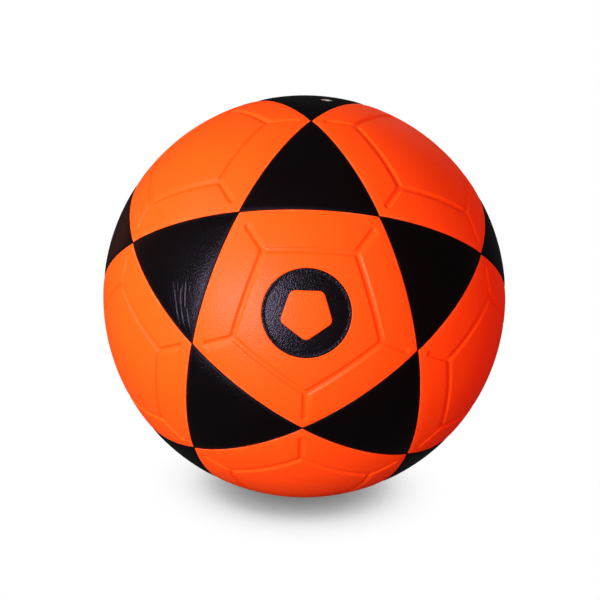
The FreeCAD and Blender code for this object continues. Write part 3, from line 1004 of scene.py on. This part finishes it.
@dataclass
class Cover:
    """All 32 panels of the cover."""

    layout: Layout
    creased_step: float = 0.3
    valve_step: float = 0.7
    creases: dict[str, tuple[Crease, ...]] = field(default_factory=lambda: {
        # pulled lines that run down into the lower corner
        "triangle_panel_high_front_left": (
            Crease((
                (-0.8, -8.6), (1.4, -13.0), (2.9, -17.1), (5.4, -24.7), (8.3, -32.1),
            ), 0.42, 0.23),
            Crease(((2.2, -7.6), (3.9, -13.4)), 0.4, 0.11),
            Crease((
                (6.2, -8.4), (5.6, -12.0), (5.8, -15.5), (6.8, -19.6), (8.7, -25.6), (10.9, -31.8),
            ), 0.42, 0.23),
            Crease(((7.2, -6.4), (8.4, -13.9), (9.6, -21.2)), 0.42, 0.23),
            Crease(((10.2, -8.6), (10.5, -12.4)), 0.4, 0.1),
            Crease(((10.4, -20.0), (12.1, -25.3), (14.1, -31.5)), 0.42, 0.18),
            Crease(((-1.2, -14.0), (1.0, -23.6)), 0.4, 0.08),
        ),
        # a scuffed fold along the upper edge, and its fainter twin on the other side
        "triangle_panel_low_front_left": (
            Crease(((-14.6, 31.4), (-11.0, 29.3), (-8.0, 26.9), (-3.4, 24.0)), 0.5, 0.09),
            Crease(((-6.5, 25.0), (-3.4, 23.1), (1.9, 20.6), (6.1, 18.4)), 0.45, 0.1),
            Crease(((-12.0, 27.6), (-7.0, 24.4)), 0.4, 0.05),
            Crease(((5.6, 16.9), (9.3, 14.2), (14.0, 11.0)), 0.6, 0.05),
        ),
        "triangle_panel_low_front_right": (
            Crease((
                (10.0, 31.6), (5.2, 27.0), (0.4, 22.8), (-5.0, 19.2), (-10.7, 16.1),
            ), 0.5, 0.07),
            Crease(((5.0, 24.8), (-2.0, 19.4)), 0.4, 0.04),
        ),
        "triangle_panel_high_front_right": (
            Crease(((-9.2, -5.0), (-9.9, -15.2), (-13.0, -24.9), (-14.2, -32.6)), 0.5, 0.06),
        ),
    })

    def panel(self, node: str) -> CoverPanel:
        """Picks the kind of panel that a CAD node is.

        Args:
            node: the CAD node's name.

        Returns:
            The panel, not built yet.
        """
        if node == FRONT_PANEL:
            return RoundelPanel(node, self.layout)
        if node.startswith("pentagon"):
            return PentagonPanel(node, self.layout)
        if node == VALVE_PANEL:
            step = self.valve_step
            return ValvePanel(node, self.layout, column_step=step, row_step=step)
        if node in self.creases:
            step = self.creased_step
            return TrianglePanel(
                node, self.layout, column_step=step, row_step=step, creases=self.creases[node]
            )
        return TrianglePanel(node, self.layout)

    def build(self, orange: Material, black: Material) -> None:
        """Builds and dresses every panel.

        Args:
            orange: finish of the pentagons.
            black: finish of the triangles.
        """
        for node in sorted(self.layout.centres):
            piece = self.panel(node).build()
            if node.startswith("pentagon"):
                dress(piece, orange)
            else:
                dress(piece, black)
            log.info("%s: %d faces", piece.name, len(piece.data.polygons))


# ---- Roundel


@dataclass
class Roundel:
    """The round inlay in the front pentagon, with a plain raised pentagon on it.

    The press sinks the inlay's face a little, so that its outer band rises to the rim: the band's
    rows are distances from the rim, each with its depth.
    """

    layout: Layout
    radius: float = 21.45
    thickness: float = 0.9
    face_depth: float = 0.38
    face_rows: int = 12
    face_from: float = 2.0
    face_to: float = 2.6
    back_reach: float = 12.0
    skin_wrap: float = 0.3
    band: tuple[tuple[float, float], ...] = (
        (2.1, 0.38), (1.8, 0.37), (1.5, 0.33), (1.2, 0.25), (0.9, 0.16), (0.6, 0.08),
        (0.3, 0.03), (0.0, 0.03),
    )
    columns: int = 180
    motif_radius: float = 12.6
    motif_corner: float = 3.2
    motif_height: float = 0.55
    motif_round: float = 0.5
    motif_foot: float = 0.6
    motif_shares: tuple[float, ...] = (0.15, 0.3, 0.45, 0.6, 0.75, 0.88)
    motif_turns: tuple[float, ...] = (90.0, 70.0, 50.0, 30.0, 12.0, 0.0)
    motif_back: float = 0.3
    far_from_seam: float = 5.0

    def ring(self, reach: Array, height: Array) -> Array:
        """Points round the inlay's middle.

        Args:
            reach: distance from the middle for each row, or for each row and column.
            height: height over the ball's sphere for each row.

        Returns:
            Points, rows by columns by 3.
        """
        right, up, out = self.layout.axes(FRONT_PANEL)
        turn = np.arange(self.columns) * math.tau / self.columns
        aside = np.cos(turn)[:, None] * right + np.sin(turn)[:, None] * up
        angle = (reach / self.layout.radius).reshape(len(reach), -1, 1)
        directions = np.cos(angle) * out + np.sin(angle) * aside
        return directions * (self.layout.radius + height)[:, None, None]

    def disc(self) -> Object:
        """The inlay itself, domed with the ball, with its raised band.

        Returns:
            The new object.
        """
        from_rim, depth = np.array(self.band).T
        face = np.linspace(self.face_from, self.radius - self.face_to, self.face_rows)
        reach = np.array([*face, *(self.radius - from_rim), self.radius, self.back_reach])
        height = np.array([*np.full(len(face), -self.face_depth), *-depth, *[-self.thickness] * 2])
        out = self.layout.centres[FRONT_PANEL]
        top, bottom = self.layout.radius - self.face_depth, self.layout.radius - self.thickness
        # The edge distance starts short of the rim by skin_wrap, so that the lighter rim, partly a
        # painted highlight, and the painted seam shade reach the inlay's edge.
        edge = np.repeat(self.radius - reach + self.skin_wrap, self.columns)
        return shell_mesh(
            "roundel_inlay", out * top, self.ring(reach, height), out * bottom,
            np.concatenate([[self.radius], edge, [0.0]]),
        )

    def motif(self) -> Object:
        """A plain pentagon with rounded corners, moulded on top with soft edges.

        Returns:
            The new object.
        """
        right, up, out = self.layout.axes(FRONT_PANEL)
        corner = self.layout.corners_of(FRONT_PANEL, 5)[0]
        turn = np.arange(self.columns) * math.tau / self.columns
        fifth = math.tau / 5
        start = math.atan2(corner @ up, corner @ right)
        off = np.abs((turn - start + fifth / 2) % fifth - fifth / 2)
        middle = self.motif_radius - self.motif_corner
        side = middle * math.cos(fifth / 2) + self.motif_corner
        touch = math.atan2(
            self.motif_corner * math.sin(fifth / 2),
            middle + self.motif_corner * math.cos(fifth / 2),
        )
        inside = np.clip(self.motif_corner**2 - (middle * np.sin(off)) ** 2, 0, None)
        rounded = middle * np.cos(off) + np.sqrt(inside)
        outline = np.where(off < touch, rounded, side / np.cos(fifth / 2 - off))
        turns = np.radians(self.motif_turns)
        inset = self.motif_round * (1 - np.cos(turns))
        top = self.motif_height - self.face_depth
        lift = top + self.motif_round * (np.sin(turns) - 1)
        reach = [share * outline for share in self.motif_shares]
        reach += [outline - i for i in inset] + [outline, self.motif_back * outline]
        height = [top] * len(self.motif_shares) + [*lift, -self.motif_foot, -self.motif_foot]
        rings = self.ring(np.array(reach), np.array(height))
        radius = self.layout.radius
        return shell_mesh(
            "roundel_motif", out * (radius + top), rings, out * (radius - self.motif_foot),
            np.full(rings[..., 0].size + 2, self.far_from_seam),
        )

    def build(self, black: Material, orange: Material) -> None:
        """Builds and dresses the inlay and its motif.

        Args:
            black: finish of the inlay.
            orange: finish of the motif.
        """
        disc = self.disc()
        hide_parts("roundel_disc")
        dress(disc, black)
        motif = self.motif()
        dress(motif, orange)
        log.info("%s and %s", disc.name, motif.name)


# ---- Inner layers and valve, which keep their CAD shapes


@dataclass
class Core:
    """Foam, carcass, winding, bladder and valve: the CAD solids, in the finish of their process."""

    finishes: dict[str, MouldedRubber | WoundThread] = field(default_factory=lambda: {
        "foam_layer": BACKING_FOAM,
        "rubber_carcass": CARCASS_RUBBER,
        "thread_winding": NYLON_THREAD,
        "bladder": BLADDER_RUBBER,
        "valve_housing": HOUSING_RUBBER,
        "valve_plug": PLUG_SILICONE,
    })

    def build(self) -> None:
        """Gives each CAD node its material."""
        for node, finish in self.finishes.items():
            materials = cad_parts[node].data.materials
            materials.clear()
            materials.append(finish.build())
            log.info("%s: %s", node, finish.name)


# ---- Studio


def towards(azimuth: float, elevation: float) -> Vector:
    """Direction of a place round the ball, in degrees from the front to the right and upwards."""
    a, e = math.radians(azimuth), math.radians(elevation)
    return Vector((math.sin(a) * math.cos(e), -math.cos(a) * math.cos(e), math.sin(e)))


@dataclass
class Softbox:
    """A soft rectangular lamp that faces the ball. Sizes are in metres, power in watts."""

    name: str
    azimuth: float
    elevation: float
    distance: float
    width: float
    height: float
    power: float
    colour: str = "#FFFFFF"
    in_gloss: bool = True

    def build(self) -> None:
        """Puts the lamp up."""
        lamp = bpy.data.lights.new(self.name, "AREA")
        lamp.shape = "RECTANGLE"
        lamp.size = self.width
        lamp.size_y = self.height
        lamp.energy = self.power
        lamp.color = linear(self.colour)[:3]
        holder = add_object(self.name, lamp)
        direction = towards(self.azimuth, self.elevation)
        holder.location = direction * self.distance
        holder.rotation_mode = "QUATERNION"
        holder.rotation_quaternion = direction.to_track_quat("Z", "Y")
        holder.visible_glossy = self.in_gloss


@dataclass
class Studio:
    """White sweep, soft lamps and the camera. Distances are in metres here."""

    layout: Layout
    azimuth: float = -0.74
    elevation: float = 15.04
    roll: float = 2.0
    distance_in_radii: float = 6.759
    lens: float = 80.65
    shift: tuple[float, float] = (-0.00718, -0.00617)
    sensor_width: float = 36.0
    ambient: float = 0.58
    ambient_colour: str = "#FF7A6A"
    glossy_surround: float = 0.035
    floor_half: float = 4.0
    floor_colour: str = "#9C362A"
    shadow_reach: float = 0.5
    shadow_samples: int = 32
    shadow_ramp: tuple[tuple[float, float], ...] = (
        (0.0, 0.12), (0.136, 0.29), (0.197, 0.43), (0.23, 0.49), (0.27, 0.7),
        (0.303, 0.79), (0.36, 0.89), (0.407, 0.96), (0.5, 1.0),
    )
    lamps: tuple[Softbox, ...] = (
        Softbox("key_softbox", -42.0, 9.0, 0.95, 0.06, 0.22, 2.9, "#F6EEFF"),
        Softbox("second_softbox", -26.0, 8.0, 0.95, 0.14, 0.45, 6.3, "#F6EEFF"),
        Softbox("left_softbox", -72.0, 32.0, 0.95, 0.6, 0.6, 6.0, in_gloss=False),
        Softbox("front_softbox", -8.0, 8.0, 1.4, 0.5, 0.4, 2.1, in_gloss=False),
        Softbox("right_softbox", 54.0, 0.0, 0.9, 0.4, 0.2, 1.5, "#FF604C", in_gloss=False),
        Softbox("back_softbox", 162.0, 20.0, 1.4, 0.6, 0.6, 11.0, "#FFF4EE", in_gloss=False),
        Softbox("rim_softbox", -130.0, 5.0, 0.95, 0.4, 0.8, 0.28, "#FF7A5C"),
    )

    def shown_and_lit(
        self, tree: NodeTree, glow: str, shown: object, lit: NodeSocket
    ) -> NodeSocket:
        """Shows one thing to the rays that look at it, and lights the ball with another.

        It is full to the eye, straight or through glass, and dim in the leather's faint gloss.

        Args:
            tree: node tree of the world or of a backdrop.
            glow: type name of the node that glows there.
            shown: colour that is seen, or the socket that carries it.
            lit: shader that lights the ball.

        Returns:
            The socket that carries both.
        """
        path = add_node(tree, "ShaderNodeLightPath").outputs
        direct = add_node(tree, "ShaderNodeMath", {
            0: path["Is Camera Ray"], 1: path["Is Transmission Ray"],
        }, operation="MAXIMUM").outputs[0]
        dimmed = add_node(tree, "ShaderNodeMath", {
            0: path["Is Glossy Ray"], 1: self.glossy_surround,
        }, operation="MULTIPLY").outputs[0]
        level, seen = (
            add_node(tree, "ShaderNodeMath", {0: direct, 1: gloss}, operation="MAXIMUM").outputs[0]
            for gloss in (dimmed, path["Is Glossy Ray"])
        )
        white = add_node(tree, glow, {"Color": shown, "Strength": level})
        mixed = add_node(tree, "ShaderNodeMixShader", {0: seen, 1: lit, 2: white.outputs[0]})
        return mixed.outputs[0]

    def white_background(self) -> None:
        """Makes the world white to look at, dim in the leather's gloss, and a soft warm light."""
        world = bpy.data.worlds.new("studio")
        bpy.context.scene.world = world
        world.use_nodes = True
        tree = world.node_tree
        tree.nodes.clear()
        light = add_node(tree, "ShaderNodeBackground", {
            "Color": linear(self.ambient_colour), "Strength": self.ambient,
        }).outputs[0]
        mixed = self.shown_and_lit(tree, "ShaderNodeBackground", linear("#FFFFFF"), light)
        add_node(tree, "ShaderNodeOutputWorld", {"Surface": mixed})

    def floor(self) -> None:
        """Lays a white floor that shows the ball's contact shadow and throws warm light back."""
        half, low = self.floor_half, -self.layout.radius * MM
        mesh = bpy.data.meshes.new("floor")
        places = [(-half, -half, low), (half, -half, low), (half, half, low), (-half, half, low)]
        mesh.from_pydata(places, [], [(0, 1, 2, 3)])
        floor = add_object("floor", mesh)
        material, tree, output = new_material("Matt white paper sweep")
        near = add_node(tree, "ShaderNodeAmbientOcclusion", {
            "Distance": self.shadow_reach,
        }, samples=self.shadow_samples)
        shade = add_node(tree, "ShaderNodeValToRGB", {"Fac": near.outputs["AO"]})
        stops = shade.color_ramp.elements
        while len(stops) < len(self.shadow_ramp):
            stops.new(0.5)
        for stop, (position, level) in zip(stops, self.shadow_ramp):
            stop.position = position
            stop.color = (level, level, level, 1.0)
        paper = add_node(tree, "ShaderNodeBsdfDiffuse", {"Color": linear(self.floor_colour)})
        mixed = self.shown_and_lit(tree, "ShaderNodeEmission", shade.outputs[0], paper.outputs[0])
        tree.links.new(mixed, output.inputs["Surface"])
        mesh.materials.append(material)
        floor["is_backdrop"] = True

    def camera(self) -> None:
        """Sets the camera up in front of the ball, a little above it."""
        data = bpy.data.cameras.new("camera")
        data.lens = self.lens
        data.sensor_width = self.sensor_width
        data.shift_x, data.shift_y = self.shift
        camera = add_object("camera", data)
        back = towards(self.azimuth, self.elevation)
        camera.location = back * self.distance_in_radii * self.layout.radius * MM
        facing = back.to_track_quat("Z", "Y").to_matrix()
        turn = facing @ Matrix.Rotation(math.radians(self.roll), 3, "Z")
        camera.rotation_mode = "QUATERNION"
        camera.rotation_quaternion = turn.to_quaternion()
        bpy.context.scene.camera = camera

    def build(self) -> None:
        """Sets up background, floor, lamps and camera."""
        bpy.context.scene.view_settings.view_transform = "Standard"
        self.white_background()
        self.floor()
        for lamp in self.lamps:
            lamp.build()
        self.camera()


def main() -> None:
    """Builds the ball's looks from the cover inwards, then the studio."""
    logging.basicConfig(level=logging.INFO, format="%(message)s")
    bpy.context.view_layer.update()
    layout = Layout.from_frame()
    orange = ORANGE_LEATHER.build()
    Cover(layout).build(orange, BLACK_LEATHER.build())
    Roundel(layout).build(INLAY_LEATHER.build(), orange)
    Core().build()
    Studio(layout).build()


if __name__ == "__main__":
    main()
